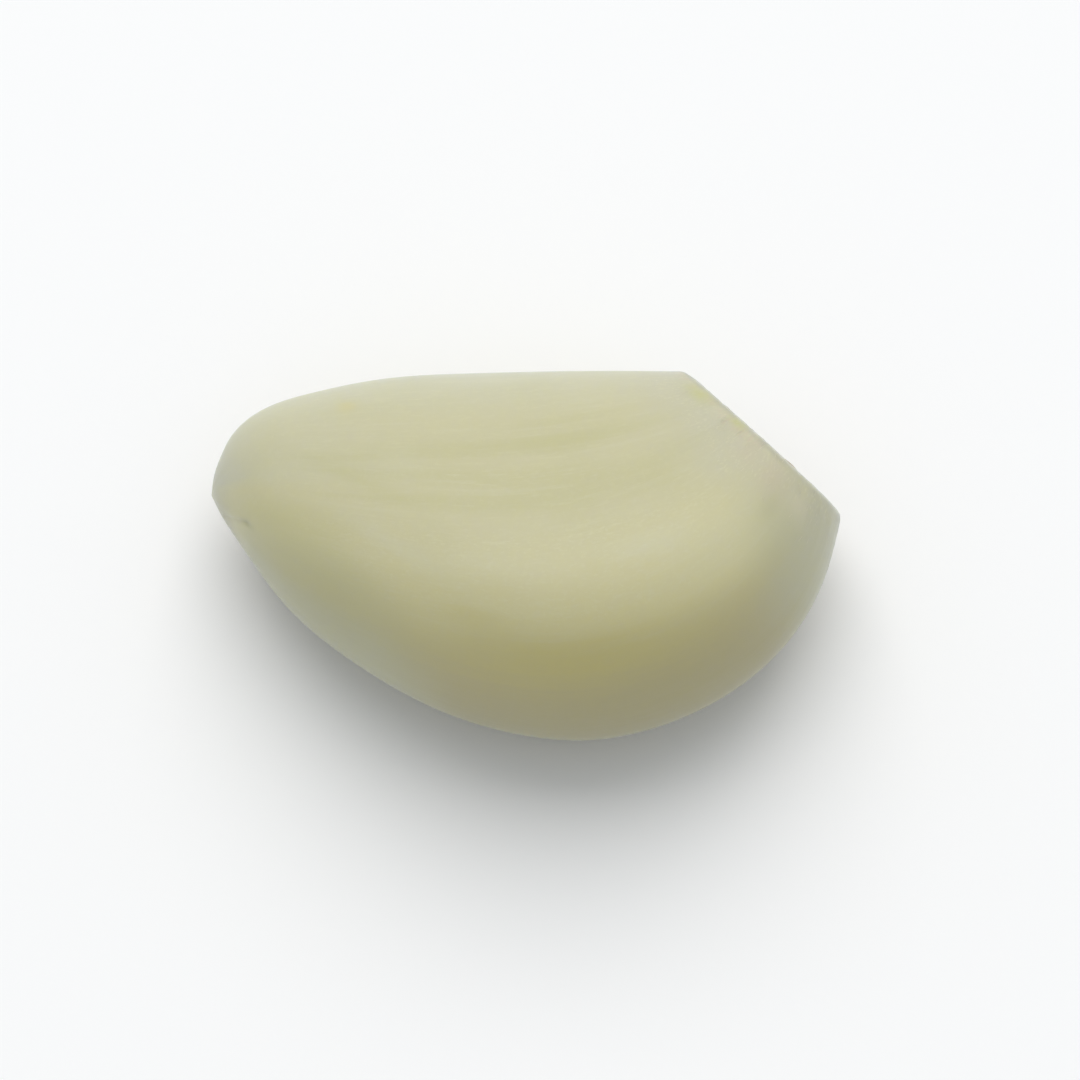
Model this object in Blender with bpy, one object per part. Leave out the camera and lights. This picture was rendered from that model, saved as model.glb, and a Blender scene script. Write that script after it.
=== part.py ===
"""A peeled garlic clove, lying on one flank.

The clove is drawn first in its outline frame: X runs along it from the tip to the
root end, W runs from the round back up to the inner ridge, and V is the thickness
across that outline. Two rails, the ridge and the belly, start together at the tip.
Cross-sections span from rail to rail and fan out, so that the last one is the slanted
root face. The body is then tilted onto its lower flank, with +Z up.
"""

import math

import bmesh
import bpy
import numpy as np

# Rails in the outline frame, as (X, W) in millimetres
RIDGE_RAIL = (
    (0.0, 0.0),
    (0.1, 0.95),
    (0.4, 1.87),
    (1.0, 3.05),
    (2.6, 4.38),
    (5.0, 5.2),
    (8.6, 5.92),
    (13.0, 6.2),
    (18.5, 6.32),
    (24.1, 6.3),
)
BELLY_RAIL = (
    (0.0, 0.0),
    (0.4, -0.87),
    (1.35, -2.35),
    (3.9, -5.73),
    (7.5, -8.65),
    (11.6, -10.9),
    (15.6, -12.1),
    (19.1, -12.38),
    (23.0, -11.6),
    (26.9, -9.6),
    (29.7, -6.85),
    (31.1, -4.25),
    (32.0, -0.97),
)

# How the sections are turned in the outline frame, and how the clove lies, in degrees
SECTION_ROLL = 31.0
OUTLINE_TILT = 21.0
ROOT_END_LIFT = 0.06
FLAT_SPOT_DEPTH = 0.12

# Cross-section shape at the tip, the middle and the root end. A reach is how far a
# soft flat stands from the section's centre, as a share of half the section's depth.
RIDGE_REACH = (1.0, 1.0, 1.0)
FLANK_REACH = (0.68, 0.6, 0.64)
SHOULDER_REACH = (0.92, 0.92, 0.94)
WEDGE_ANGLE = (5.0, 13.0, 8.0)
CORNER_SHARPNESS = (2.8, 3.2, 4.2)
SHOULDER_ANGLE = 43.0

# Rounded lip of the root face: its radius in millimetres, and the share of the rails it takes
LIP_RADIUS = 0.25
LIP_SHARE = 0.01
LIP_RINGS = (0.99, 0.994, 0.998)

# Root face, in millimetres, with places and widths as shares of its radius
FACE_DOME = 0.1
GROOVE_DEPTH = 0.3
GROOVE_PLACE = 0.66
GROOVE_WIDTH = 0.1
GROOVE_WOBBLE = 0.025
ROOT_BUDS = 11
BUD_SEED = 5
BUD_HEIGHT = 0.2
BUD_PLACE = 0.63
BUD_WIDTH = 0.1
BUD_SCATTER = 0.05
FACE_RING_PLACES = (0.97, 0.93, 0.87, 0.81, 0.75, 0.7, 0.65, 0.6, 0.55, 0.5, 0.44, 0.35, 0.24, 0.12)

# Small crease beside the tip, on the upper side, between two points of the outline frame
CREASE_START = (0.75, -1.15)
CREASE_END = (1.95, -1.45)
CREASE_WIDTH = 0.3
CREASE_DEPTH = 0.16
CREASE_FADE = 0.3

RINGS = 54
RING_CROWDING = 1.3
POINTS_AROUND = 72
RAIL_SAMPLES = 2000
MM = 0.001

FLESH_COLOUR = (0.66, 0.61, 0.36, 1.0)
FLESH_ROUGHNESS = 0.42


def natural_spline(knots, values):
    """A function that passes smoothly through the values and is straight at its ends."""
    steps = np.diff(knots)
    slopes = np.diff(values) / steps
    matrix = np.eye(len(knots))
    right = np.zeros(len(knots))
    for i in range(1, len(knots) - 1):
        matrix[i, i - 1 : i + 2] = steps[i - 1], 2 * (steps[i - 1] + steps[i]), steps[i]
        right[i] = 6 * (slopes[i] - slopes[i - 1])
    bend = np.linalg.solve(matrix, right)

    def at(u):
        i = np.clip(np.searchsorted(knots, u, side="right") - 1, 0, len(steps) - 1)
        before = (knots[i + 1] - u) / steps[i]
        after = (u - knots[i]) / steps[i]
        curve = (before**3 - before) * bend[i] + (after**3 - after) * bend[i + 1]
        return before * values[i] + after * values[i + 1] + curve * steps[i] ** 2 / 6

    return at


def chord_lengths(points):
    """Distance from the first point to each point, along the line through them."""
    return np.concatenate([[0], np.cumsum(np.linalg.norm(np.diff(points, axis=0), axis=1))])


def rail_points(points, shares):
    """Points of a rail at these shares of its length, from the tip to the root end."""
    points = np.array(points)
    knots = chord_lengths(points)
    fine = np.linspace(0, knots[-1], RAIL_SAMPLES)
    curve = np.stack([natural_spline(knots, column)(fine) for column in points.T], axis=1)
    length = chord_lengths(curve)
    return np.stack([np.interp(shares * length[-1], length, column) for column in curve.T], axis=1)


def along(share, tip_middle_root):
    """A value that eases from the tip's to the middle's, and from there to the root end's."""
    tip, middle, root = tip_middle_root
    turn = math.sin(share * math.pi)
    return middle * turn + (tip if share < 0.5 else root) * (1 - turn)


def wedge_section(share):
    """One cross-section as (depth, side) pairs, from soft flats for ridge, flanks and back."""
    wedge = along(share, WEDGE_ANGLE)
    flank = along(share, FLANK_REACH)
    shoulder = along(share, SHOULDER_REACH)
    flats = (
        (0.0, along(share, RIDGE_REACH)),
        (90.0 - wedge, flank),
        (wedge - 90.0, flank),
        (180.0 - SHOULDER_ANGLE, shoulder),
        (180.0 + SHOULDER_ANGLE, shoulder),
        (180.0, 1.0),
    )
    power = along(share, CORNER_SHARPNESS)
    angles = np.arange(POINTS_AROUND) * 2 * math.pi / POINTS_AROUND
    nearness = np.zeros(POINTS_AROUND)
    for direction, reach in flats:
        facing = np.maximum(np.cos(angles - math.radians(direction)), 0)
        nearness += (facing / reach) ** power
    radius = nearness ** (-1 / power)
    return np.stack([radius * np.cos(angles), radius * np.sin(angles)], axis=1)


def crease_relief(flat, side):
    """Depth of the small crease beside the tip at each point of a section, less round the back."""
    start, end = np.array(CREASE_START), np.array(CREASE_END)
    run = end - start
    share = np.clip((flat - start) @ run / (run @ run), 0, 1)
    apart = np.linalg.norm(flat - start - np.outer(share, run), axis=1)
    return CREASE_DEPTH * np.exp(-((apart / CREASE_WIDTH) ** 2)) * np.clip(side / CREASE_FADE, 0, 1)


def lip_relief(share):
    """How far a ring is drawn in, in millimetres, to round the lip of the root face."""
    ahead = max(0, 1 - (1 - share) / LIP_SHARE)
    return LIP_RADIUS * (1 - math.sqrt(1 - ahead**2))


def body_rings():
    """Rings of points in the outline frame (X, W, V), from the tip to the root face."""
    shares = np.sort(np.append((np.arange(1, RINGS + 1) / RINGS) ** RING_CROWDING, LIP_RINGS))
    ridge = rail_points(RIDGE_RAIL, shares)
    belly = rail_points(BELLY_RAIL, shares)
    roll = math.radians(SECTION_ROLL)
    rings = []
    for share, top, bottom in zip(shares, ridge, belly):
        depth, side = wedge_section(share).T
        rise = depth * math.cos(roll) + side * math.sin(roll)
        across = side * math.cos(roll) - depth * math.sin(roll)
        span = top - bottom
        height = np.linalg.norm(span)
        size = height / (rise.max() - rise.min())
        centre = bottom - rise.min() * size * span / height
        flat = centre + np.outer(rise * size, span / height)
        inward = crease_relief(flat, side) + lip_relief(share)
        pull = 1 - inward / (size * np.hypot(depth, side))
        flat = centre + (flat - centre) * pull[:, None]
        lean = ROOT_END_LIFT * centre[0] - math.tan(roll) * centre[1]
        rings.append(np.column_stack([flat, across * pull * size + lean]))
    return rings


def root_buds():
    """Root buds on the scar, each as (x, y, height), in a ring with a seeded scatter."""
    draw = np.random.default_rng(BUD_SEED)
    angles = (np.arange(ROOT_BUDS) + draw.uniform(-0.3, 0.3, ROOT_BUDS)) * 2 * math.pi / ROOT_BUDS
    places = BUD_PLACE + draw.uniform(-BUD_SCATTER, BUD_SCATTER, ROOT_BUDS)
    heights = BUD_HEIGHT * draw.uniform(0.4, 1.0, ROOT_BUDS)
    return zip(places * np.cos(angles), places * np.sin(angles), heights)


def face_relief(place, angles):
    """Height of the root face above its rim, at a share of its radius."""
    dome = FACE_DOME * (1 - place**8)
    wobble = GROOVE_WOBBLE * (np.sin(3 * angles) + np.sin(5 * angles + 1))
    groove = GROOVE_DEPTH * np.exp(-(((place - GROOVE_PLACE - wobble) / GROOVE_WIDTH) ** 2))
    height = dome - groove
    for x, y, bud in root_buds():
        apart = np.hypot(place * np.cos(angles) - x, place * np.sin(angles) - y)
        height += bud * np.exp(-((apart / BUD_WIDTH) ** 2))
    return height


def face_rings(rim):
    """Rings of points that close the root face inside its rim, and its centre point."""
    centre = rim.mean(axis=0)
    ridge_end, belly_end = np.array(RIDGE_RAIL[-1]), np.array(BELLY_RAIL[-1])
    span = (ridge_end - belly_end) / np.linalg.norm(ridge_end - belly_end)
    outward = np.array([span[1], -span[0], 0])
    angles = np.arange(POINTS_AROUND) * 2 * math.pi / POINTS_AROUND
    rings = [
        centre + (rim - centre) * place + np.outer(face_relief(place, angles), outward)
        for place in FACE_RING_PLACES
    ]
    return rings, centre + FACE_DOME * outward


def to_table(points):
    """Outline-frame points (X, W, V) in millimetres, tilted to how the clove lies, in metres."""
    points = np.atleast_2d(points) * MM
    tilt = math.radians(OUTLINE_TILT)
    x, w, v = points.T
    y = w * math.cos(tilt) - v * math.sin(tilt)
    z = w * math.sin(tilt) + v * math.cos(tilt)
    return np.column_stack([x, y, z])


def clove_mesh():
    """A closed mesh of the clove, cut flat where it rests, with its base's centre at the origin."""
    rings = body_rings()
    scar_rings, scar_centre = face_rings(rings[-1])
    loops = [to_table(ring) for ring in rings + scar_rings]
    ends = [to_table((0, 0, 0))[0], to_table(scar_centre)[0]]
    everything = np.vstack(loops + [ends])
    low, high = everything.min(axis=0), everything.max(axis=0)
    origin = np.array([(low[0] + high[0]) / 2, (low[1] + high[1]) / 2, low[2] + FLAT_SPOT_DEPTH * MM])

    mesh = bmesh.new()
    loops = [[mesh.verts.new(point - origin) for point in loop] for loop in loops]
    tip, scar = (mesh.verts.new(end - origin) for end in ends)
    for i in range(POINTS_AROUND):
        j = (i + 1) % POINTS_AROUND
        mesh.faces.new((tip, loops[0][i], loops[0][j]))
        mesh.faces.new((scar, loops[-1][j], loops[-1][i]))
        for near, far in zip(loops, loops[1:]):
            mesh.faces.new((near[i], far[i], far[j], near[j]))
    cut = bmesh.ops.bisect_plane(
        mesh,
        geom=mesh.verts[:] + mesh.edges[:] + mesh.faces[:],
        plane_co=(0, 0, 0),
        plane_no=(0, 0, -1),
        clear_outer=True,
    )
    edges = [item for item in cut["geom_cut"] if isinstance(item, bmesh.types.BMEdge)]
    bmesh.ops.edgeloop_fill(mesh, edges=edges)
    bmesh.ops.recalc_face_normals(mesh, faces=mesh.faces[:])
    return mesh


def flesh_material():
    """Ivory flesh with a soft, moist gloss."""
    material = bpy.data.materials.new("garlic flesh")
    material.use_nodes = True
    shader = material.node_tree.nodes["Principled BSDF"]
    shader.inputs["Base Color"].default_value = FLESH_COLOUR
    shader.inputs["Roughness"].default_value = FLESH_ROUGHNESS
    shader.inputs["Metallic"].default_value = 0.0
    return material


def main():
    for obj in list(bpy.data.objects):
        bpy.data.objects.remove(obj, do_unlink=True)
    data = bpy.data.meshes.new("clove")
    solid = clove_mesh()
    solid.to_mesh(data)
    solid.free()
    data.materials.append(flesh_material())
    data.shade_smooth()
    clove = bpy.data.objects.new("clove", data)
    bpy.context.scene.collection.objects.link(clove)


main()
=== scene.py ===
"""Looks of a peeled garlic clove that lies on one flank, on a pale floor.

Its surface is swept from cross-sections between two rails, the inner ridge and the
belly, and closed at one end by the root scar. It is drawn in an outline frame, in
millimetres: X runs from the tip to the root end, W from the belly up to the ridge, and
V is the thickness. Geometry Nodes then raise its veins and swellings, and lay the
frayed fibres of skin beside the scar.
"""
import math

import bpy
import numpy as np
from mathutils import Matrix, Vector


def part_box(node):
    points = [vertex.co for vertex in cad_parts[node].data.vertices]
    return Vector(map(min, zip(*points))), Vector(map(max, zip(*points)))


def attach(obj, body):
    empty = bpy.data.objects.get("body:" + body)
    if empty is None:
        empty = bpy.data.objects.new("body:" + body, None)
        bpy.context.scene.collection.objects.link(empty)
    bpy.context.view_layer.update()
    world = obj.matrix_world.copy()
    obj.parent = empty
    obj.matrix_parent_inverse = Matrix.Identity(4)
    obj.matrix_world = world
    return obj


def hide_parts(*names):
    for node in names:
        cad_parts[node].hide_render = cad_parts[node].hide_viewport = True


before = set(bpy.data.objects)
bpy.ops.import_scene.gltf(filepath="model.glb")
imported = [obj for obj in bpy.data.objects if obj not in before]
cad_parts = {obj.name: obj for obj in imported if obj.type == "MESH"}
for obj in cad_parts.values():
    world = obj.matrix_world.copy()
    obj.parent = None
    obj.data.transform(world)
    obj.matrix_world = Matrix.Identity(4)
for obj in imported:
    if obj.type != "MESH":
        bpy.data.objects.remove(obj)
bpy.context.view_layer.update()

MM = 0.001

# Rails of the clove, as (X, W) in millimetres
RIDGE_RAIL = (
    (0.0, 0.0),
    (0.1, 0.95),
    (0.4, 1.87),
    (1.0, 3.05),
    (2.6, 4.38),
    (5.0, 5.2),
    (8.6, 5.92),
    (13.0, 6.2),
    (18.5, 6.32),
    (24.1, 6.3),
)
BELLY_RAIL = (
    (0.0, 0.0),
    (0.4, -0.87),
    (1.35, -2.35),
    (3.9, -5.73),
    (7.5, -8.65),
    (11.6, -10.9),
    (15.6, -12.1),
    (19.1, -12.38),
    (23.0, -11.6),
    (26.9, -9.6),
    (29.7, -6.85),
    (31.1, -4.25),
    (32.0, -0.97),
)
RAIL_SAMPLES = 3000

# How the sections are turned, and how the clove lies, in degrees
SECTION_ROLL = 31.0
OUTLINE_TILT = 21.0
ROOT_END_LIFT = 0.06
FLAT_SPOT_DEPTH = 0.12

# Cross-section shape at the tip, the middle and the root end: how far each soft flat
# stands from the section's centre, as a share of half the section's depth
RIDGE_REACH = (1.0, 1.0, 1.0)
FLANK_REACH = (0.68, 0.6, 0.64)
SHOULDER_REACH = (0.92, 0.92, 0.94)
WEDGE_ANGLE = (5.0, 13.0, 8.0)
CORNER_SHARPNESS = (2.8, 3.2, 4.2)
SHOULDER_ANGLE = 43.0

# Fineness of the surface, with rings crowded at both ends of the clove
BODY_RINGS = 250
SCAR_RINGS = 46
POINTS_AROUND = 320
RING_CROWDING = 0.55

# Rounded lip of the root scar: its radius in millimetres, and the share of the rails it takes
LIP_RADIUS = 0.25
LIP_SHARE = 0.01

# Root scar, in millimetres, with places and widths as shares of its radius
SCAR_DOME = 0.1
GROOVE_DEPTH = 0.3
GROOVE_PLACE = 0.66
GROOVE_WIDTH = 0.1
GROOVE_WOBBLE = 0.025
ROOT_BUDS = 11
BUD_SEED = 5
BUD_HEIGHT = 0.1
BUD_PLACE = 0.63
BUD_WIDTH = 0.09
BUD_SCATTER = 0.05
BUD_TURN = 0.3
BUD_SMALLEST = 0.4
DOME_SQUARENESS = 8

# Crease beside the tip, between two points of the outline frame: a fine cut in a hollow
CREASE_START = (0.75, -1.15)
CREASE_END = (1.95, -1.45)
CREASE_WIDTH = 0.14
CREASE_DEPTH = 0.11
CREASE_FADE = 0.3
HOLLOW_WIDTH = 0.45
HOLLOW_DEPTH = 0.06

# Relief of the flesh, in millimetres, with counts in vein space, where once round is 2 pi
VEIN_DEPTH = 0.03
VEINS_AROUND = 7.0
VEINS_ALONG = 2.2
SWELL_DEPTH = 0.1
SWELLS_AROUND = 1.5
ROOT_ROUGHNESS = 0.06
CORK_ROUGHNESS = 0.1
CORK_RAYS = 7.0
RELIEF_SEED = 3.0
ROOT_GRAIN_SIZE = 0.7
RAY_NOISE = (3.0, 0.6)
RAY_LEVEL = 0.6
# Shares of the clove's length, or of the scar's radius, where the relief fades in or out
VEIN_FADE = (0.05, 0.3)
ROUGH_ROOT = (0.93, 1.0)
SCAR_EDGE = (0.9, 0.98)

# Frayed fibres of skin beside the root scar, in millimetres
FIBRES_PER_SQUARE_METRE = 3.0e6
FIBRE_LENGTH = 0.5
FIBRE_THICKNESS = 0.014
FIBRE_CURL = 0.1
FIBRE_SINK = 0.014
FIBRE_SEED = 4
FIBRE_SHORTEST = 0.3
FIBRE_ASKEW = 0.4
FIBRE_POINTS = 9
FIBRE_SIDES = 5
FIBRE_END_SHARE = 0.1
CURL_SIZE = 0.9
SINK_SIZE = 0.5
# Where they grow: patches round the clove, the share of its length, and off the scar
FIBRE_PATCHES = 5.0
PATCH_EDGE = (0.45, 0.6)
FIBRE_ZONE = (0.9, 0.985)
OFF_SCAR = (0.97, 1.0)

# Colours of the flesh, the scar and the skin, in linear light, among them painted shade, painted light and
# painted reflection
IVORY = (0.547, 0.514, 0.327)
VEIN_YELLOW = (0.49, 0.465, 0.25)
# Pale streaks of the flesh, also used for a painted highlight below the crease
PALE_STREAK_AND_HIGHLIGHT = (0.585, 0.565, 0.41)
PALE_SPECK = (0.62, 0.595, 0.41)
RIDGE_CREAM = (0.53, 0.515, 0.375)
# Yellow tone of the lower flank, lightened as painted light over the turn
BACK_YELLOW_AND_LIGHT = (0.6, 0.557, 0.325)
# Olive tone of the back, darkened further as painted shade
BACK_OLIVE_AND_SHADE = (0.445, 0.395, 0.207)
# Painted shade on the underside
UNDERSIDE_PAINTED_SHADE = (0.385, 0.345, 0.19)
BELLY_GOLD = (0.555, 0.49, 0.20)
# Painted grey reflection and painted shade on the rims near the ends
RIM_PAINTED_REFLECTION_AND_SHADE = (0.465, 0.455, 0.295)
# Painted greyish reflection at the tip and the rims
TIP_PAINTED_REFLECTION = (0.49, 0.48, 0.38)
ROOT_PALE = (0.51, 0.49, 0.375)
# Painted shade along the lip of the root scar
LIP_PAINTED_SHADE = (0.4, 0.39, 0.29)
EDGE_GREEN = (0.5, 0.49, 0.24)
ROOT_OLIVE = (0.45, 0.43, 0.25)
ROOT_TAN = (0.57, 0.53, 0.38)
PINK_TAN = (0.54, 0.47, 0.35)
SPOT_YELLOW = (0.56, 0.51, 0.26)
# Painted shade in the crease beside the tip
CREASE_PAINTED_SHADE = (0.36, 0.35, 0.20)
CORK = (0.40, 0.31, 0.19)
CORK_DARK = (0.16, 0.105, 0.055)
CORK_PALE = (0.56, 0.48, 0.33)
FIBRE_WHITE = (0.62, 0.585, 0.43)

# Patterns that run along the veins: how finely each repeats round and along the clove,
# its detail, its roughness and its seed
VEIN_PATTERNS = {
    "bands": ((3.5, 3.5, 1.2), 2.0, 0.5, 1.0),
    "streaks": ((14.0, 14.0, 3.0), 3.0, 0.6, 2.0),
    "hairs": ((30.0, 30.0, 22.0), 3.0, 0.7, 3.0),
    "grains": ((60.0, 60.0, 120.0), 2.0, 0.6, 8.0),
}
# Patterns with no direction: size in millimetres, detail, roughness and seed
SPOT_PATTERNS = {
    "mottle": (2.6, 3.0, 0.6, 4.0),
    "blush": (6.0, 1.0, 0.5, 5.0),
    "grain": (0.3, 3.0, 0.6, 6.0),
}

# Layers of flesh colour, some of them painted shade, painted light and painted reflection, from the first
# up:
#  pattern, where it starts and where it is full, colour and strength
FLESH_LAYERS = (
    ("tip flank", 0.5, 0.85, RIDGE_CREAM, 0.5),
    ("ridge", 0.65, 1.0, RIDGE_CREAM, 0.8),
    ("bands", 0.5, 0.7, VEIN_YELLOW, 0.4),
    ("streaks", 0.5, 0.8, PALE_STREAK_AND_HIGHLIGHT, 0.35),
    ("mottle", 0.5, 0.75, ROOT_TAN, 0.25),
    ("blush", 0.5, 0.8, VEIN_YELLOW, 0.35),
    # Yellow tone, partly painted light that lifts the turn into the back
    ("back", 0.2, 0.8, BACK_YELLOW_AND_LIGHT, 0.8),
    ("grain", 0.45, 0.75, PALE_SPECK, 0.15),
    ("hairs", 0.5, 0.8, PALE_SPECK, 0.4),
    ("turn grains", 0.5, 0.7, PALE_SPECK, 0.35),
    # The back: its own olive tone, partly painted shade
    ("back", 0.8, 1.0, BACK_OLIVE_AND_SHADE, 0.9),
    # Painted shade, darker towards the underside
    ("under", -0.3, 0.3, UNDERSIDE_PAINTED_SHADE, 0.88),
    # Painted grey reflection and painted shade on the end rims
    ("end rims", 0.35, 1.0, RIM_PAINTED_REFLECTION_AND_SHADE, 0.8),
    # Painted greyish reflection towards the tip
    ("tip flank", 0.78, 0.98, TIP_PAINTED_REFLECTION, 0.8),
    ("tip", 0.9, 1.0, TIP_PAINTED_REFLECTION, 0.8),
    ("root", 0.8, 0.98, ROOT_PALE, 0.65),
    ("root hairs", 0.46, 0.55, PINK_TAN, 0.6),
    ("root grains", 0.52, 0.7, PALE_SPECK, 0.5),
    # Painted shade along the lip of the root scar
    ("share", 0.986, 0.998, LIP_PAINTED_SHADE, 0.75),
)

# Marks on the flesh, among them painted shade and a painted highlight at the crease: share of length,
#  angle round the section in degrees, half length, half width in degrees, drift in degrees a share, colour
#  and strength
MARKS = (
    (0.355, 34.0, 0.02, 4.0, 0.0, SPOT_YELLOW, 0.7),
    (0.68, 61.0, 0.19, 4.0, -8.0, VEIN_YELLOW, 0.48),
    (0.72, 50.0, 0.12, 3.0, -10.0, VEIN_YELLOW, 0.3),
    (0.34, 81.0, 0.1, 6.0, 180.0, VEIN_YELLOW, 0.32),
    (0.55, 97.0, 0.1, 4.0, 0.0, VEIN_YELLOW, 0.22),
    (0.39, 119.0, 0.08, 6.0, 158.0, PALE_STREAK_AND_HIGHLIGHT, 0.4),
    (0.52, 122.0, 0.1, 6.0, 30.0, PALE_STREAK_AND_HIGHLIGHT, 0.25),
    (0.75, 123.5, 0.07, 4.0, 35.0, PALE_STREAK_AND_HIGHLIGHT, 0.45),
    (0.475, 141.0, 0.05, 7.0, 60.0, SPOT_YELLOW, 0.5),
    (0.84, 136.0, 0.09, 10.0, 0.0, PALE_STREAK_AND_HIGHLIGHT, 0.3),
    (0.26, 148.0, 0.15, 12.0, 0.0, BELLY_GOLD, 0.25),
    (0.18, 118.0, 0.1, 16.0, 0.0, VEIN_YELLOW, 0.45),
    (0.42, 69.0, 0.04, 8.0, 0.0, PALE_STREAK_AND_HIGHLIGHT, 0.25),
    # Painted greyish reflection on the rim near the root end
    (0.87, 168.0, 0.07, 14.0, 0.0, TIP_PAINTED_REFLECTION, 0.25),
    (0.58, 155.0, 0.17, 10.0, 0.0, BELLY_GOLD, 0.7),
    (0.93, 139.0, 0.025, 4.0, 0.0, ROOT_OLIVE, 0.4),
    (0.98, 50.0, 0.018, 10.0, 0.0, EDGE_GREEN, 0.8),
    (0.99, 90.0, 0.01, 8.0, 0.0, EDGE_GREEN, 0.7),
    (0.965, 112.0, 0.025, 9.0, 0.0, PINK_TAN, 0.35),
    (0.965, 133.0, 0.03, 9.0, 0.0, PINK_TAN, 0.45),
    (0.965, 152.0, 0.022, 8.0, 0.0, ROOT_TAN, 0.6),
    # Painted shade in the crease beside the tip
    (0.112, 132.5, 0.014, 4.0, 0.0, CREASE_PAINTED_SHADE, 0.55),
    # Painted highlight just below the crease
    (0.065, 142.0, 0.012, 7.0, 0.0, PALE_STREAK_AND_HIGHLIGHT, 0.5),
)

# Where the patterns of the flesh fade in along the clove, as shares of its length
VEIN_COLOUR_START = (0.06, 0.35)
ANGLE_START = (0.0, 0.12)
RIMS_OFF_TIP = (0.25, 0.55)
RIMS_ON_ROOT = (0.7, 0.95)
ROOT_HAIRS_START = (0.93, 0.985)
ROOT_GRAINS_START = (0.82, 0.92)
ROOT_RAGGEDNESS = 0.06
# Where they fade in round it: -1 is the inner ridge and 1 the middle of the back
TIP_FLANK_END = (-0.2, 0.5)
ROOT_LAG = (0.2, 0.9)
TURN_START = (0.0, 0.4)
TURN_END = (0.75, 0.95)
MARK_RAGGEDNESS = 2.0

# Cork of the scar: how fine its patterns are across the scar's radius, and where its
# dark ring, its edge, its border with the flesh and the dry flesh round it lie
SPECK_FINENESS = 12.0
RAY_FINENESS = 11.0
BLOTCH_FINENESS = 3.5
BLOTCH_LEVEL = 0.35
BLOTCH_SPREAD = 0.3
RING_START = (0.5, 0.62)
RING_END = (0.68, 0.8)
CORK_EDGE = (0.8, 0.93)
CORK_BORDER = (0.64, 0.9)
BORDER_RAGGEDNESS = 0.2
DRY_EDGE = (0.8, 1.0)
DRY_STRENGTH = 0.7

# Finish of the flesh: how far red, green and blue light reach into it, in millimetres,
# its gloss, its waxy sheen and its fine bumps
LIGHT_REACH = (1.0, 0.95, 0.5)
FLESH_REACH_SCALE = 1.2
FLESH_IOR = 1.4
FLESH_ROUGHNESS = 0.42
ROUGHNESS_CHANGE = 0.15
SHEEN_WEIGHT = 0.3
SHEEN_ROUGHNESS = 0.35
SHEEN_TINT = (0.85, 0.93, 1.0, 1.0)
BUMP_STRENGTH = 0.4
BUMP_DISTANCE = 0.03
HAIR_BUMP = 0.7
GRAIN_BUMP = 0.3
CORK_BUMP = 1.5

# Finish of the cork and of the fibres of skin
CORK_DULLNESS = 0.3
CORK_OPACITY = 0.75
FIBRE_REACH_SCALE = 0.3
FIBRE_TRANSLUCENCY = 0.6
FIBRE_ROUGHNESS = 0.6
FIBRE_TONE_SIZE = 0.8

# Studio: a white floor, a large softbox above and a little behind, and a pale surround
FLOOR_HALF_SIDE = 2.0
FLOOR_WHITE = (0.945, 0.93, 0.92, 1.0)
FLOOR_ROUGHNESS = 0.8
FLOOR_SHINE = 0.2
SOFTBOX_SIZE = 2.0
SOFTBOX_DISTANCE = 2.0
SOFTBOX_TILT = 30.0
SOFTBOX_POWER = 29.0
SOFTBOX_COLOUR = (1.0, 0.985, 0.95)
SKY_COLOUR = (0.88, 0.94, 1.0, 1.0)
SKY_FRONT_STRENGTH = 0.52
SKY_BACK_STRENGTH = 0.68

# The view of the photograph: its frame's width and the point at its middle, in
# millimetres, and its angle above the table, in degrees
VIEW_WIDTH = 54.7
VIEW_MIDDLE = (0.73, 0.65, 6.09)
VIEW_ELEVATION = 69.0
LENS = 300.0
SENSOR = 36.0
NEAREST_SEEN = 0.01


class Wire:
    """An output of a node, which adds and multiplies like a number."""

    def __init__(self, board, socket):
        self.board = board
        self.socket = socket

    def __add__(self, other):
        return self.board.math("ADD", self, other)

    def __radd__(self, other):
        return self.board.math("ADD", other, self)

    def __sub__(self, other):
        return self.board.math("SUBTRACT", self, other)

    def __rsub__(self, other):
        return self.board.math("SUBTRACT", other, self)

    def __mul__(self, other):
        return self.board.math("MULTIPLY", self, other)

    def __truediv__(self, other):
        return self.board.math("DIVIDE", self, other)


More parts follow.
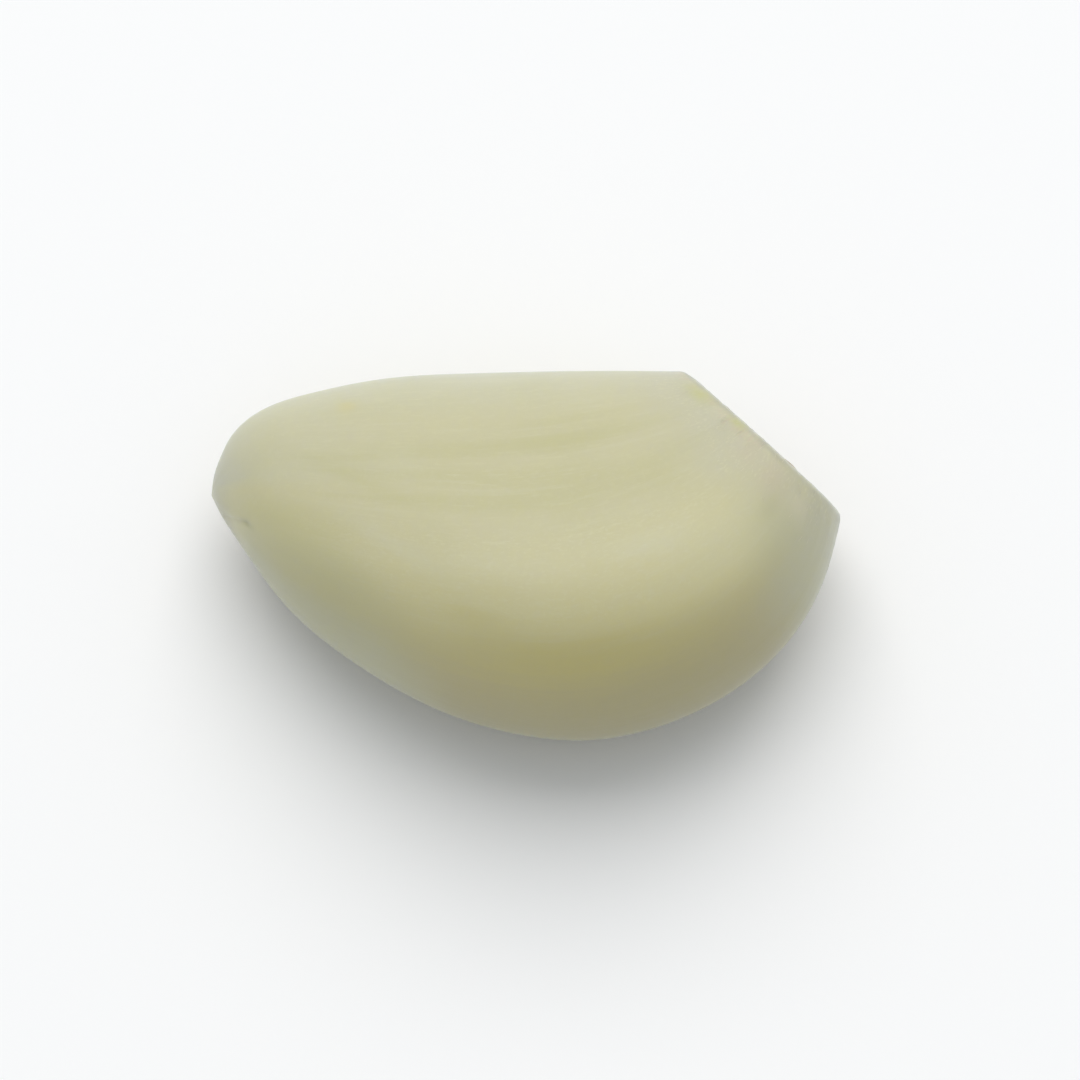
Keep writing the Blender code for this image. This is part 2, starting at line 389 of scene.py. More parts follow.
class Board:
    """A node tree that is being wired up."""

    def __init__(self, tree):
        self.tree = tree

    def add(self, kind, inputs=None, **settings):
        """A new node with these settings, and its inputs fed from wires or plain values."""
        node = self.tree.nodes.new(kind)
        for name, value in settings.items():
            setattr(node, name, value)
        for name, value in (inputs or {}).items():
            self.feed(node.inputs[name], value)
        return node

    def feed(self, socket, value):
        """Sends a wire to an input, or sets the input to a plain value."""
        if isinstance(value, Wire):
            self.tree.links.new(value.socket, socket)
        else:
            socket.default_value = value

    def out(self, node, name=0):
        return Wire(self, node.outputs[name])

    def math(self, operation, *values):
        node = self.add("ShaderNodeMath", operation=operation)
        for socket, value in zip(node.inputs, values):
            self.feed(socket, value)
        return self.out(node)

    def vector(self, operation, first, second):
        """A vector sum or product, or with SCALE a vector times a number."""
        node = self.add("ShaderNodeVectorMath", {0: first}, operation=operation)
        self.feed(node.inputs["Scale" if operation == "SCALE" else 1], second)
        return self.out(node)

    def join(self, x, y, z):
        """A vector of three numbers."""
        return self.out(self.add("ShaderNodeCombineXYZ", {0: x, 1: y, 2: z}))

    def parts(self, vector):
        """The three numbers of a vector."""
        node = self.add("ShaderNodeSeparateXYZ", {0: vector})
        return [self.out(node, i) for i in range(3)]

    def blend(self, factor, first, second):
        """A colour between two, the first at 0 and the second at 1."""
        node = self.add("ShaderNodeMix", data_type="RGBA")
        for name, value in (("Factor_Float", factor), ("A_Color", first), ("B_Color", second)):
            socket = next(socket for socket in node.inputs if socket.identifier == name)
            self.feed(socket, (*value, 1.0) if isinstance(value, tuple) else value)
        blended = next(socket for socket in node.outputs if socket.identifier == "Result_Color")
        return Wire(self, blended)

    def ramp(self, value, start, end):
        """0 at start and 1 at end, eased between them and held outside."""
        inputs = {0: value, 1: start, 2: end}
        return self.out(self.add("ShaderNodeMapRange", inputs, interpolation_type="SMOOTHSTEP"))

    def random(self, low, high, seed):
        """A random number for each point or instance, between these two."""
        inputs = {2: low, 3: high, "Seed": seed}
        return self.out(self.add("FunctionNodeRandomValue", inputs, data_type="FLOAT"), 1)

    def noise(self, vector, detail=2.0, roughness=0.5, seed=0.0, scale=1.0):
        """Smooth noise from 0 to 1 at this place."""
        inputs = {"Vector": vector, "W": seed, "Scale": scale, "Detail": detail, "Roughness": roughness}
        return self.out(self.add("ShaderNodeTexNoise", inputs, noise_dimensions="4D"))


def natural_spline(knots, values):
    """A function that passes smoothly through the values and is straight at its ends."""
    steps = np.diff(knots)
    slopes = np.diff(values) / steps
    matrix = np.eye(len(knots))
    right = np.zeros(len(knots))
    for i in range(1, len(knots) - 1):
        matrix[i, i - 1 : i + 2] = steps[i - 1], 2 * (steps[i - 1] + steps[i]), steps[i]
        right[i] = 6 * (slopes[i] - slopes[i - 1])
    bend = np.linalg.solve(matrix, right)

    def at(u):
        i = np.clip(np.searchsorted(knots, u, side="right") - 1, 0, len(steps) - 1)
        before = (knots[i + 1] - u) / steps[i]
        after = (u - knots[i]) / steps[i]
        curve = (before**3 - before) * bend[i] + (after**3 - after) * bend[i + 1]
        return before * values[i] + after * values[i + 1] + curve * steps[i] ** 2 / 6

    return at


def chord_lengths(points):
    """Distance from the first point to each point, along the line through them."""
    return np.concatenate([[0], np.cumsum(np.linalg.norm(np.diff(points, axis=0), axis=1))])


def rail_points(points, shares):
    """Points of a rail at these shares of its length, from the tip to the root end."""
    points = np.array(points)
    knots = chord_lengths(points)
    fine = np.linspace(0, knots[-1], RAIL_SAMPLES)
    curve = np.stack([natural_spline(knots, column)(fine) for column in points.T], axis=1)
    length = chord_lengths(curve)
    return np.stack([np.interp(shares * length[-1], length, column) for column in curve.T], axis=1)


def along(share, tip_middle_root):
    """A value that eases from the tip's to the middle's, and from there to the root end's."""
    tip, middle, root = tip_middle_root
    turn = math.sin(share * math.pi)
    return middle * turn + (tip if share < 0.5 else root) * (1 - turn)


def wedge_section(share, angles):
    """One cross-section as (depth, side) pairs, from soft flats for ridge, flanks and back."""
    wedge = along(share, WEDGE_ANGLE)
    flank = along(share, FLANK_REACH)
    shoulder = along(share, SHOULDER_REACH)
    flats = (
        (0.0, along(share, RIDGE_REACH)),
        (90.0 - wedge, flank),
        (wedge - 90.0, flank),
        (180.0 - SHOULDER_ANGLE, shoulder),
        (180.0 + SHOULDER_ANGLE, shoulder),
        (180.0, 1.0),
    )
    power = along(share, CORNER_SHARPNESS)
    nearness = np.zeros(len(angles))
    for direction, reach in flats:
        facing = np.maximum(np.cos(angles - math.radians(direction)), 0)
        nearness += (facing / reach) ** power
    radius = nearness ** (-1 / power)
    return np.stack([radius * np.cos(angles), radius * np.sin(angles)], axis=1)


def crease_relief(flat, side):
    """Depth of the crease beside the tip at each point of a section."""
    start, end = np.array(CREASE_START), np.array(CREASE_END)
    run = end - start
    share = np.clip((flat - start) @ run / (run @ run), 0, 1)
    apart = np.linalg.norm(flat - start - np.outer(share, run), axis=1)
    cut = CREASE_DEPTH * np.exp(-((apart / CREASE_WIDTH) ** 2))
    hollow = HOLLOW_DEPTH * np.exp(-((apart / HOLLOW_WIDTH) ** 2))
    return (cut + hollow) * np.clip(side / CREASE_FADE, 0, 1)


def lip_relief(share):
    """How far a ring is drawn in, in millimetres, to round the lip of the root scar."""
    ahead = max(0, 1 - (1 - share) / LIP_SHARE)
    return LIP_RADIUS * (1 - math.sqrt(1 - ahead**2))


def body_shares():
    """Where the rings stand, as shares of the rails, close together at the tip and the root end."""
    even = np.arange(1, BODY_RINGS + 1) / BODY_RINGS
    return even - RING_CROWDING * np.sin(2 * math.pi * even) / (2 * math.pi)


def body_rings(angles):
    """Rings of points in the outline frame (X, W, V), from the tip to the root scar's rim."""
    shares = body_shares()
    ridge = rail_points(RIDGE_RAIL, shares)
    belly = rail_points(BELLY_RAIL, shares)
    roll = math.radians(SECTION_ROLL)
    rings = []
    for share, top, bottom in zip(shares, ridge, belly):
        depth, side = wedge_section(share, angles).T
        rise = depth * math.cos(roll) + side * math.sin(roll)
        across = side * math.cos(roll) - depth * math.sin(roll)
        span = top - bottom
        height = np.linalg.norm(span)
        size = height / (rise.max() - rise.min())
        centre = bottom - rise.min() * size * span / height
        flat = centre + np.outer(rise * size, span / height)
        inward = crease_relief(flat, side) + lip_relief(share)
        pull = 1 - inward / (size * np.hypot(depth, side))
        flat = centre + (flat - centre) * pull[:, None]
        lean = ROOT_END_LIFT * centre[0] - math.tan(roll) * centre[1]
        rings.append(np.column_stack([flat, across * pull * size + lean]))
    return rings


def root_buds():
    """Root buds on the scar, each as (x, y, height), in a ring with a seeded scatter."""
    draw = np.random.default_rng(BUD_SEED)
    turns = np.arange(ROOT_BUDS) + draw.uniform(-BUD_TURN, BUD_TURN, ROOT_BUDS)
    angles = turns * 2 * math.pi / ROOT_BUDS
    places = BUD_PLACE + draw.uniform(-BUD_SCATTER, BUD_SCATTER, ROOT_BUDS)
    heights = BUD_HEIGHT * draw.uniform(BUD_SMALLEST, 1.0, ROOT_BUDS)
    return list(zip(places * np.cos(angles), places * np.sin(angles), heights))


def scar_relief(place, angles):
    """Height of the root scar above its rim, at a share of its radius."""
    dome = SCAR_DOME * (1 - place**DOME_SQUARENESS)
    wobble = GROOVE_WOBBLE * (np.sin(3 * angles) + np.sin(5 * angles + 1))
    groove = GROOVE_DEPTH * np.exp(-(((place - GROOVE_PLACE - wobble) / GROOVE_WIDTH) ** 2))
    height = dome - groove
    for x, y, bud in root_buds():
        apart = np.hypot(place * np.cos(angles) - x, place * np.sin(angles) - y)
        height += bud * np.exp(-((apart / BUD_WIDTH) ** 2))
    return height


def scar_rings(rim, angles):
    """Rings of points that close the root scar inside its rim, their places, and its centre point."""
    centre = rim.mean(axis=0)
    span = np.array(RIDGE_RAIL[-1]) - np.array(BELLY_RAIL[-1])
    span = span / np.linalg.norm(span)
    outward = np.array([span[1], -span[0], 0])
    places = 1 - np.arange(1, SCAR_RINGS + 1) / (SCAR_RINGS + 1)
    rings = []
    for place in places:
        raised = np.outer(scar_relief(place, angles), outward)
        rings.append(centre + (rim - centre) * place + raised)
    return rings, places, centre + SCAR_DOME * outward


def to_table(points):
    """Outline-frame points tilted to how the clove lies, still in millimetres."""
    tilt = math.radians(OUTLINE_TILT)
    x, w, v = points.T
    back = w * math.cos(tilt) - v * math.sin(tilt)
    up = w * math.sin(tilt) + v * math.cos(tilt)
    return np.column_stack([x, back, up])


def to_frame(points):
    """Points fitted to the CAD clove's box, in metres, and pressed flat where it rests."""
    low, high = (np.array(corner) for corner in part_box("clove"))
    own_low, own_high = points.min(axis=0), points.max(axis=0)
    scale = (high[0] - low[0]) / (own_high[0] - own_low[0])
    placed = low + (points - own_low) * scale
    placed[:, 2] = np.maximum(placed[:, 2] - FLAT_SPOT_DEPTH * MM, low[2])
    return placed


def write_attribute(mesh, name, kind, values):
    """Stores one value or vector for each point of the mesh."""
    attribute = mesh.attributes.new(name, kind, "POINT")
    field = "vector" if kind == "FLOAT_VECTOR" else "value"
    attribute.data.foreach_set(field, np.asarray(values, np.float32).ravel())


def closed_faces(rings):
    """Faces over rings of points, closed by one point before the first ring and one after the last."""
    first = 1 + np.arange(rings)[:, None] * POINTS_AROUND + np.arange(POINTS_AROUND)
    after = np.roll(first, -1, axis=1)
    quads = np.stack([first[:-1], after[:-1], after[1:], first[1:]], axis=-1).reshape(-1, 4)
    last = 1 + rings * POINTS_AROUND
    faces = [(0, int(b), int(a)) for a, b in zip(first[0], after[0])]
    faces += quads.tolist()
    faces += [(last, int(a), int(b)) for a, b in zip(first[-1], after[-1])]
    return faces


def clove_surface():
    """A closed mesh of the smooth clove, which knows where along and around it each point lies."""
    angles = np.arange(POINTS_AROUND) * 2 * math.pi / POINTS_AROUND
    body = body_rings(angles)
    scar, places, scar_centre = scar_rings(body[-1], angles)
    points = to_frame(to_table(np.vstack([[[0, 0, 0]]] + body + scar + [[scar_centre]])))
    rings = BODY_RINGS + SCAR_RINGS
    mesh = bpy.data.meshes.new("clove_flesh")
    mesh.from_pydata(points.tolist(), [], closed_faces(rings))

    around = np.concatenate([[0], np.tile(angles, rings), [0]])
    x, y = np.cos(around), np.sin(around)
    body_points = BODY_RINGS * POINTS_AROUND
    scar_points = SCAR_RINGS * POINTS_AROUND
    share = np.concatenate([[0], np.repeat(body_shares(), POINTS_AROUND), np.ones(scar_points + 1)])
    place = np.concatenate([np.ones(1 + body_points), np.repeat(places, POINTS_AROUND), [0]])
    ahead = np.minimum(np.arange(len(points)) + POINTS_AROUND, len(points) - 1)
    write_attribute(mesh, "vein_space", "FLOAT_VECTOR", np.stack([x, y, share], axis=1))
    write_attribute(mesh, "scar_space", "FLOAT_VECTOR", np.stack([place * x, place * y, place], axis=1))
    write_attribute(mesh, "vein_run", "FLOAT_VECTOR", (points[ahead] - points) / MM)
    mesh.shade_smooth()
    return mesh


def new_tree(name, sizes):
    """A geometry tree with a mesh in and out and these named sizes, as a board and its input wires."""
    tree = bpy.data.node_groups.new(name, "GeometryNodeTree")
    tree.interface.new_socket("Geometry", in_out="INPUT", socket_type="NodeSocketGeometry")
    tree.interface.new_socket("Geometry", in_out="OUTPUT", socket_type="NodeSocketGeometry")
    for size, (kind, value) in sizes.items():
        socket = tree.interface.new_socket(size, in_out="INPUT", socket_type="NodeSocket" + kind)
        if kind != "Material":
            socket.default_value = value
    board = Board(tree)
    group = board.add("NodeGroupInput")
    return board, {output.name: board.out(group, output.name) for output in group.outputs if output.name}


def apply_tree(obj, board, sizes):
    """Runs the tree on the object and keeps the result as its plain mesh."""
    modifier = obj.modifiers.new(board.tree.name, "NODES")
    modifier.node_group = board.tree
    for item in board.tree.interface.items_tree:
        if item.in_out == "INPUT" and item.name in sizes:
            modifier[item.identifier] = sizes[item.name][1]
    graph = bpy.context.evaluated_depsgraph_get()
    evaluated = obj.evaluated_get(graph)
    made = bpy.data.meshes.new_from_object(evaluated, preserve_all_data_layers=True, depsgraph=graph)
    obj.modifiers.remove(modifier)
    made.name = obj.name
    obj.data = made


def stored(board, name):
    """A vector that the surface stores at each point, in a geometry tree."""
    node = board.add("GeometryNodeInputNamedAttribute", {"Name": name}, data_type="FLOAT_VECTOR")
    return board.out(node)


def finish_tree(board, geometry, material):
    """Ends a geometry tree in plain geometry with its material."""
    real = board.add("GeometryNodeRealizeInstances", {"Geometry": geometry})
    dressed = board.add("GeometryNodeSetMaterial", {"Geometry": board.out(real), "Material": material})
    board.add("NodeGroupOutput", {"Geometry": board.out(dressed)})


def relief_tree(sizes):
    """Raises long veins, broad swellings, a rougher root end and corky rays."""
    board, given = new_tree("clove relief", sizes)
    vein_space = stored(board, "vein_space")
    x, y, share = board.parts(vein_space)
    scar_place = board.parts(stored(board, "scar_space"))[2]
    stretch = board.join(given["Veins around"], given["Veins around"], given["Veins along"])
    veins = board.noise(board.vector("MULTIPLY", vein_space, stretch), seed=given["Seed"])
    swell_space = board.vector("SCALE", vein_space, given["Swells around"])
    swells = board.noise(swell_space, detail=1.0, seed=given["Seed"])
    place = board.out(board.add("GeometryNodeInputPosition"))
    grains = board.noise(place, seed=given["Seed"], scale=1 / (ROOT_GRAIN_SIZE * MM))
    fineness = board.math("SQRT", scar_place) * given["Cork rays"]
    rays = board.noise(board.join(x * fineness, y * fineness, 0.0), *RAY_NOISE, given["Seed"])
    off_tip = board.ramp(share, *VEIN_FADE)
    near_root = board.ramp(share, *ROUGH_ROOT)
    on_scar = 1.0 - board.ramp(scar_place, *SCAR_EDGE)
    height = (veins - 0.5) * off_tip * given["Vein depth"] + (swells - 0.5) * given["Swell depth"]
    height = height + (grains - 0.5) * near_root * given["Root roughness"]
    height = height + (rays - RAY_LEVEL) * on_scar * given["Cork roughness"]
    offset = board.vector("SCALE", board.out(board.add("GeometryNodeInputNormal")), height)
    raised = board.add("GeometryNodeSetPosition", {"Geometry": given["Geometry"], "Offset": offset})
    finish_tree(board, board.out(raised), given["Material"])
    return board


def nearest_value(board, flesh, value):
    """A vector of the flesh, taken at the place on it that is nearest."""
    inputs = {"Mesh": flesh, "Value": value}
    return board.out(board.add("GeometryNodeSampleNearestSurface", inputs, data_type="FLOAT_VECTOR"))


def fibre_roots(board, given):
    """Scattered points beside the root scar, and how each fibre lies: along the veins, a little askew."""
    flesh = given["Geometry"]
    vein_space = stored(board, "vein_space")
    share = board.parts(vein_space)[2]
    scar_place = board.parts(stored(board, "scar_space"))[2]
    patches = board.noise(board.vector("SCALE", vein_space, FIBRE_PATCHES), seed=given["Patch seed"])
    near_root = board.ramp(share, *FIBRE_ZONE) * board.ramp(scar_place, *OFF_SCAR)
    density = near_root * board.ramp(patches, *PATCH_EDGE) * given["Density"]
    points = board.add(
        "GeometryNodeDistributePointsOnFaces",
        {"Mesh": flesh, "Density": density, "Seed": given["Seed"]},
    )
    run = nearest_value(board, flesh, stored(board, "vein_run"))
    lie = board.add(
        "FunctionNodeAxesToRotation",
        {0: board.out(points, "Normal"), 1: run},
        primary_axis="Z",
        secondary_axis="X",
    )
    askew = board.random(-FIBRE_ASKEW, FIBRE_ASKEW, given["Seed"])
    turn = board.add("FunctionNodeAxisAngleToRotation", {"Axis": (0, 0, 1), "Angle": askew})
    turned = board.add(
        "FunctionNodeRotateRotation",
        {0: board.out(lie), 1: board.out(turn)},
        rotation_space="LOCAL",
    )
    return board.out(points, "Points"), board.out(turned)


def laid_on(board, flesh, place, sink):
    """The nearest place on the flesh, a little below it."""
    normal = board.out(board.add("GeometryNodeInputNormal"))
    return board.vector(
        "SUBTRACT",
        nearest_value(board, flesh, place),
        board.vector("SCALE", nearest_value(board, flesh, normal), sink),
    )


def fibre_tree(sizes):
    """Scatters short fibres beside the root scar and lays them along the veins, half sunk."""
    board, given = new_tree("frayed skin", sizes)
    points, rotation = fibre_roots(board, given)
    length = board.random(FIBRE_SHORTEST, 1.0, given["Patch seed"])
    stick = board.add("GeometryNodeCurvePrimitiveLine", {"Start": (-0.5, 0, 0), "End": (0.5, 0, 0)})
    fibre = board.add("GeometryNodeResampleCurve", {"Curve": board.out(stick), "Count": FIBRE_POINTS})
    scale = board.join(length * given["Length"], 1.0, 1.0)
    spread = board.add(
        "GeometryNodeInstanceOnPoints",
        {"Points": points, "Instance": board.out(fibre), "Rotation": rotation, "Scale": scale},
    )
    curves = board.out(board.add("GeometryNodeRealizeInstances", {"Geometry": board.out(spread)}))

    place = board.out(board.add("GeometryNodeInputPosition"))
    wave = board.add("ShaderNodeTexNoise", {"Vector": place, "Scale": 1 / (CURL_SIZE * MM), "Detail": 1.0})
    swing = board.vector("SUBTRACT", board.out(wave, 1), (0.5, 0.5, 0.5))
    curl = board.vector("SCALE", swing, given["Curl"])
    curled = board.add("GeometryNodeSetPosition", {"Geometry": curves, "Offset": curl})
    sink = board.noise(place, seed=2.0, scale=1 / (SINK_SIZE * MM)) * given["Sink"]
    laid = board.add(
        "GeometryNodeSetPosition",
        {"Geometry": board.out(curled), "Position": laid_on(board, given["Geometry"], place, sink)},
    )

    factor = board.out(board.add("GeometryNodeSplineParameter"))
    taper = board.math("SQRT", board.math("SINE", factor * math.pi)) + FIBRE_END_SHARE
    thick = board.add("GeometryNodeSetCurveRadius", {"Curve": board.out(laid), "Radius": taper})
    profile = board.add(
        "GeometryNodeCurvePrimitiveCircle",
        {"Resolution": FIBRE_SIDES, "Radius": given["Thickness"]},
    )
    tubes = board.add(
        "GeometryNodeCurveToMesh",
        {"Curve": board.out(thick), "Profile Curve": board.out(profile), "Fill Caps": True},
    )
    finish_tree(board, board.out(tubes), given["Material"])
    return board


def new_material(name):
    """A new material, as its board and its shader node."""
    material = bpy.data.materials.new(name)
    material.use_nodes = True
    return material, Board(material.node_tree), material.node_tree.nodes["Principled BSDF"]


def painted(board, name):
    """A vector that the surface stores at each point, in a material."""
    return board.out(board.add("ShaderNodeAttribute", attribute_name=name), "Vector")


def object_place(board):
    """The place on the piece, or the direction in the surround."""
    return board.out(board.add("ShaderNodeTexCoord"), "Object")


def flesh_patterns(board, vein_space, place):
    """Every pattern that colours the flesh, by name, as a number at each place."""
    x, y, share = board.parts(vein_space)
    patterns = {}
    for name, (size, detail, roughness, seed) in SPOT_PATTERNS.items():
        patterns[name] = board.noise(place, detail, roughness, seed, scale=1 / (size * MM))
    off_tip = board.ramp(share, *VEIN_COLOUR_START)
    for name, (fineness, detail, roughness, seed) in VEIN_PATTERNS.items():
        whole = board.noise(board.vector("MULTIPLY", vein_space, fineness), detail, roughness, seed)
        patterns[name] = (whole - 0.5) * off_tip + 0.5
    off_pole = board.ramp(share, *ANGLE_START)
    patterns["ridge"] = x * off_pole
    patterns["back"] = patterns["ridge"] * -1.0
    patterns["under"] = y * off_pole * -1.0
    ends = 1.0 - board.ramp(share, *RIMS_OFF_TIP) * (1.0 - board.ramp(share, *RIMS_ON_ROOT))
    # Where the painted reflection and shade of the end rims lie
    patterns["end rims"] = patterns["back"] * ends
    patterns["tip"] = 1.0 - share
    patterns["tip flank"] = patterns["tip"] * (1.0 - board.ramp(patterns["back"], *TIP_FLANK_END))
    ragged = (patterns["mottle"] - 0.5) * ROOT_RAGGEDNESS
    patterns["root"] = share + ragged - board.ramp(patterns["back"], *ROOT_LAG) * ROOT_RAGGEDNESS
    patterns["root hairs"] = patterns["hairs"] * board.ramp(patterns["root"], *ROOT_HAIRS_START)
    past_turn = board.ramp(patterns["back"], *TURN_END)
    turn = board.ramp(patterns["back"], *TURN_START) * (1.0 - past_turn)
    patterns["turn grains"] = patterns["grains"] * turn
    patterns["root grains"] = patterns["grains"] * board.ramp(patterns["root"], *ROOT_GRAINS_START)
    patterns["share"] = share
    patterns["degrees"] = board.math("ARCTAN2", y, x) * math.degrees(1)
    return patterns


def with_marks(board, colour, patterns):
    """The colour with its spots and streaks, and the painted shade and painted highlight at the crease,
    each fading out along and across the veins.
    """
    ragged = (patterns["streaks"] - 0.5) * MARK_RAGGEDNESS
    for at, angle, half_length, half_width, drift, tint, strength in MARKS:
        ahead = patterns["share"] - at
        lengthwise = ahead / half_length
        crosswise = (patterns["degrees"] - angle - ahead * drift) / half_width + ragged
        apart = lengthwise * lengthwise + crosswise * crosswise
        colour = board.blend(board.math("EXPONENT", apart * -1.0) * strength, colour, tint)
    return colour


def flesh_colour(board, patterns):
    """Ivory flesh under its layers of colour and its marks, with painted shade, painted light and painted
    reflection among them.
    """
    colour = IVORY
    for pattern, start, end, tint, strength in FLESH_LAYERS:
        colour = board.blend(board.ramp(patterns[pattern], start, end) * strength, colour, tint)
    return with_marks(board, colour, patterns)


def cork_patterns(board, vein_space, scar_space):
    """Specks, rays, ragged distance from the scar's middle, and the dry ring round the scar."""
    x, y, _ = board.parts(vein_space)
    place = board.parts(scar_space)[2]
    specks = board.noise(scar_space, detail=4.0, roughness=0.7, seed=7.0, scale=SPECK_FINENESS)
    fineness = board.math("SQRT", place) * RAY_FINENESS
    rays = board.noise(board.join(x * fineness, y * fineness, 0.0), *RAY_NOISE, seed=8.0)
    blotches = board.noise(scar_space, seed=10.0, scale=BLOTCH_FINENESS)
    radius = place + (blotches - BLOTCH_LEVEL) * BLOTCH_SPREAD
    dry = (1.0 - board.ramp(radius, *DRY_EDGE)) * (1.0 - board.ramp(place, *SCAR_EDGE))
    return specks, rays, radius, dry


def cork_colour(board, specks, rays, radius):
    """Tan cork with pale rays, dark in the broken ring round the root buds and along its edge."""
    ring = board.ramp(radius, *RING_START) * (1.0 - board.ramp(radius, *RING_END))
    edge = board.ramp(radius, *CORK_EDGE)
    colour = board.blend(board.ramp(rays, 0.35, 0.65), CORK, CORK_PALE)
    colour = board.blend(board.ramp(specks, 0.52, 0.66) * 0.6, colour, CORK_DARK)
    colour = board.blend(ring * board.ramp(specks + rays, 0.9, 1.2) * 0.6, colour, CORK_DARK)
    return board.blend(edge * board.ramp(specks, 0.35, 0.6) * 0.6, colour, CORK)


def clove_material():
    """Moist, slightly translucent flesh that turns to dull cork on the root scar."""
    material, board, shader = new_material("garlic_flesh")
    vein_space = painted(board, "vein_space")
    patterns = flesh_patterns(board, vein_space, object_place(board))
    specks, rays, radius, dry = cork_patterns(board, vein_space, painted(board, "scar_space"))
    corky = 1.0 - board.ramp(radius + (specks - 0.5) * BORDER_RAGGEDNESS, *CORK_BORDER)
    flesh = board.blend(dry * DRY_STRENGTH, flesh_colour(board, patterns), CORK_PALE)
    colour = board.blend(corky, flesh, cork_colour(board, specks, rays, radius))
    board.feed(shader.inputs["Base Color"], colour)
    roughness = FLESH_ROUGHNESS + (patterns["mottle"] - 0.5) * ROUGHNESS_CHANGE
    board.feed(shader.inputs["Roughness"], roughness + corky * CORK_DULLNESS)
    board.feed(shader.inputs["Subsurface Weight"], 1.0 - corky * CORK_OPACITY)
    flesh_height = patterns["hairs"] * HAIR_BUMP + patterns["grain"] * GRAIN_BUMP
    height = flesh_height + (specks + rays) * corky * CORK_BUMP
    bump = board.add(
        "ShaderNodeBump",
        {"Strength": BUMP_STRENGTH, "Distance": BUMP_DISTANCE * MM, "Height": height},
    )
    board.feed(shader.inputs["Normal"], board.out(bump))
    shader.subsurface_method = "RANDOM_WALK"
    shader.inputs["Subsurface Radius"].default_value = LIGHT_REACH
    shader.inputs["Subsurface Scale"].default_value = FLESH_REACH_SCALE * MM
    shader.inputs["IOR"].default_value = FLESH_IOR
    shader.inputs["Sheen Weight"].default_value = SHEEN_WEIGHT
    shader.inputs["Sheen Roughness"].default_value = SHEEN_ROUGHNESS
    shader.inputs["Sheen Tint"].default_value = SHEEN_TINT
    return material


def fibre_material():
    """Thin dry fibres of skin."""
    material, board, shader = new_material("skin_fibre")
    tones = board.noise(object_place(board), seed=9.0, scale=1 / (FIBRE_TONE_SIZE * MM))
    colour = board.blend(board.ramp(tones, 0.4, 0.7), FIBRE_WHITE, ROOT_TAN)
    board.feed(shader.inputs["Base Color"], colour)
    shader.inputs["Roughness"].default_value = FIBRE_ROUGHNESS
    shader.inputs["Subsurface Weight"].default_value = FIBRE_TRANSLUCENCY
    shader.inputs["Subsurface Radius"].default_value = LIGHT_REACH
    shader.inputs["Subsurface Scale"].default_value = FIBRE_REACH_SCALE * MM
    return material


def new_piece(name, mesh):
    """A new object at the origin that shows this mesh."""
    piece = bpy.data.objects.new(name, mesh)
    bpy.context.scene.collection.objects.link(piece)
    return piece


def build_clove():
    """The clove's flesh, with its relief raised."""
    clove = new_piece("clove_flesh", clove_surface())
    sizes = {
        "Vein depth": ("Float", VEIN_DEPTH * MM),
        "Veins around": ("Float", VEINS_AROUND),
        "Veins along": ("Float", VEINS_ALONG),
        "Swell depth": ("Float", SWELL_DEPTH * MM),
        "Swells around": ("Float", SWELLS_AROUND),
        "Root roughness": ("Float", ROOT_ROUGHNESS * MM),
        "Cork roughness": ("Float", CORK_ROUGHNESS * MM),
        "Cork rays": ("Float", CORK_RAYS),
        "Seed": ("Float", RELIEF_SEED),
        "Material": ("Material", clove_material()),
    }
    apply_tree(clove, relief_tree(sizes), sizes)
    return clove


def build_fibres(clove):
    """The frayed fibres of skin, scattered over the clove's surface."""
    fibres = new_piece("skin_fibres", clove.data.copy())
    sizes = {
        "Density": ("Float", FIBRES_PER_SQUARE_METRE),
        "Length": ("Float", FIBRE_LENGTH * MM),
        "Thickness": ("Float", FIBRE_THICKNESS * MM),
        "Curl": ("Float", FIBRE_CURL * MM),
        "Sink": ("Float", FIBRE_SINK * MM),
        "Seed": ("Int", FIBRE_SEED),
        "Patch seed": ("Int", FIBRE_SEED + 1),
        "Material": ("Material", fibre_material()),
    }
    apply_tree(fibres, fibre_tree(sizes), sizes)
    return fibres


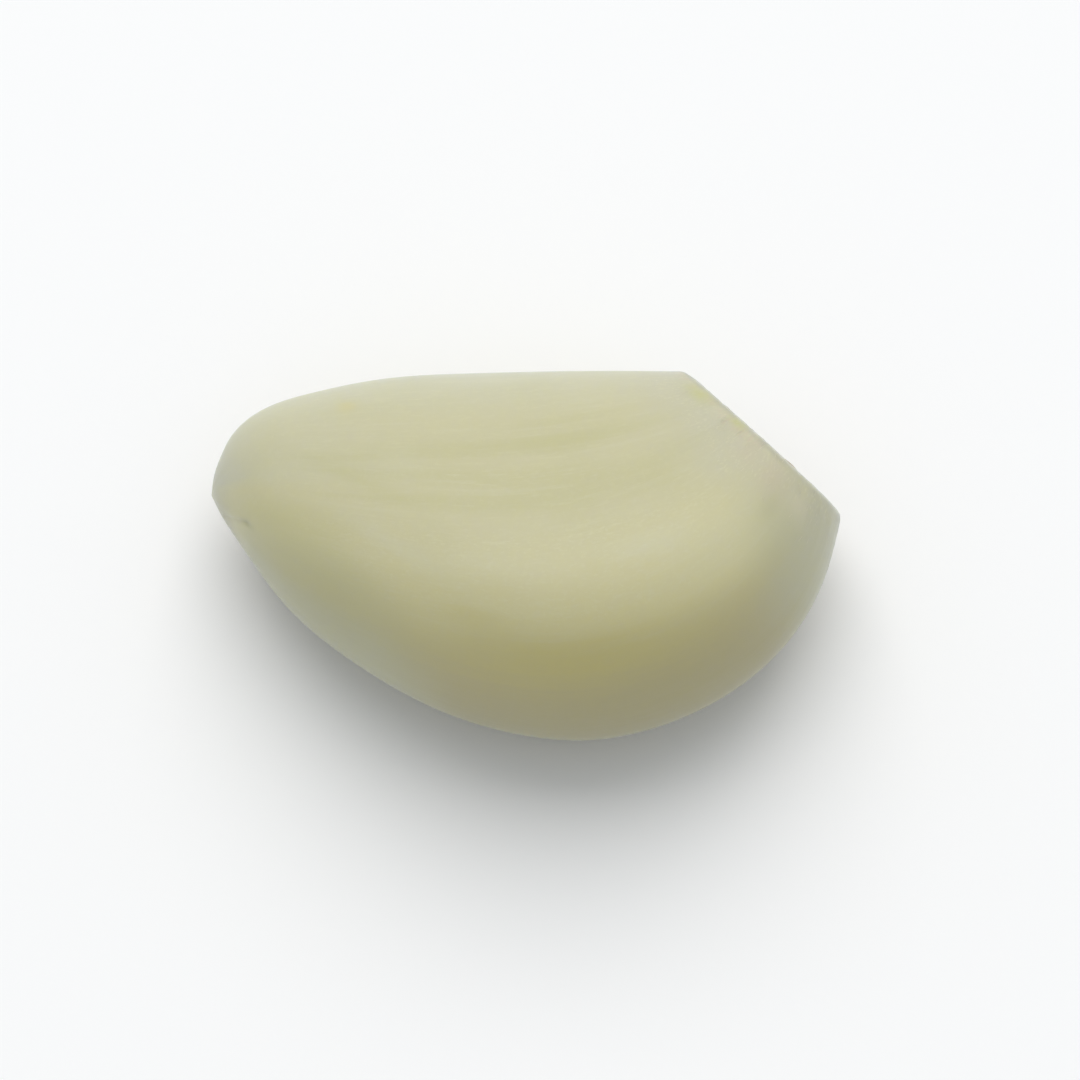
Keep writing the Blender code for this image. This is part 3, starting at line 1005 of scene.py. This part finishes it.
def build_floor():
    """A wide, plain, pale floor."""
    side = FLOOR_HALF_SIDE
    mesh = bpy.data.meshes.new("floor")
    corners = [(-side, -side, 0), (side, -side, 0), (side, side, 0), (-side, side, 0)]
    mesh.from_pydata(corners, [], [(0, 1, 2, 3)])
    material, board, shader = new_material("floor_white")
    shader.inputs["Base Color"].default_value = FLOOR_WHITE
    shader.inputs["Roughness"].default_value = FLOOR_ROUGHNESS
    shader.inputs["Specular IOR Level"].default_value = FLOOR_SHINE
    mesh.materials.append(material)
    new_piece("floor", mesh)


def light_stage():
    """One large softbox and a pale surround, brighter at the back."""
    softbox = bpy.data.objects.new("softbox", bpy.data.lights.new("softbox", "AREA"))
    bpy.context.scene.collection.objects.link(softbox)
    softbox.data.size = SOFTBOX_SIZE
    softbox.data.energy = SOFTBOX_POWER
    softbox.data.color = SOFTBOX_COLOUR
    tilt = math.radians(SOFTBOX_TILT)
    softbox.location = Vector((0, math.sin(tilt), math.cos(tilt))) * SOFTBOX_DISTANCE
    softbox.rotation_euler = softbox.location.to_track_quat("Z", "Y").to_euler()
    world = bpy.data.worlds.new("studio")
    bpy.context.scene.world = world
    world.use_nodes = True
    board = Board(world.node_tree)
    backward = board.ramp(board.parts(object_place(board))[1], -1.0, 1.0)
    surround = world.node_tree.nodes["Background"]
    surround.inputs["Color"].default_value = SKY_COLOUR
    strength = backward * (SKY_BACK_STRENGTH - SKY_FRONT_STRENGTH) + SKY_FRONT_STRENGTH
    board.feed(surround.inputs["Strength"], strength)


def place_camera():
    """A long lens that looks down on the clove at the photograph's angle."""
    camera = bpy.data.objects.new("camera", bpy.data.cameras.new("camera"))
    bpy.context.scene.collection.objects.link(camera)
    camera.data.lens = LENS
    camera.data.sensor_width = SENSOR
    camera.data.clip_start = NEAREST_SEEN
    elevation = math.radians(VIEW_ELEVATION)
    back = Vector((0, -math.cos(elevation), math.sin(elevation)))
    camera.location = Vector(VIEW_MIDDLE) * MM + back * (VIEW_WIDTH * MM * LENS / SENSOR)
    camera.rotation_euler = back.to_track_quat("Z", "Y").to_euler()
    bpy.context.scene.camera = camera
    bpy.context.scene.view_settings.view_transform = "Standard"


clove = build_clove()
fibres = build_fibres(clove)
for piece in (clove, fibres):
    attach(piece, "root")
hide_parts("clove")
build_floor()
light_stage()
place_camera()
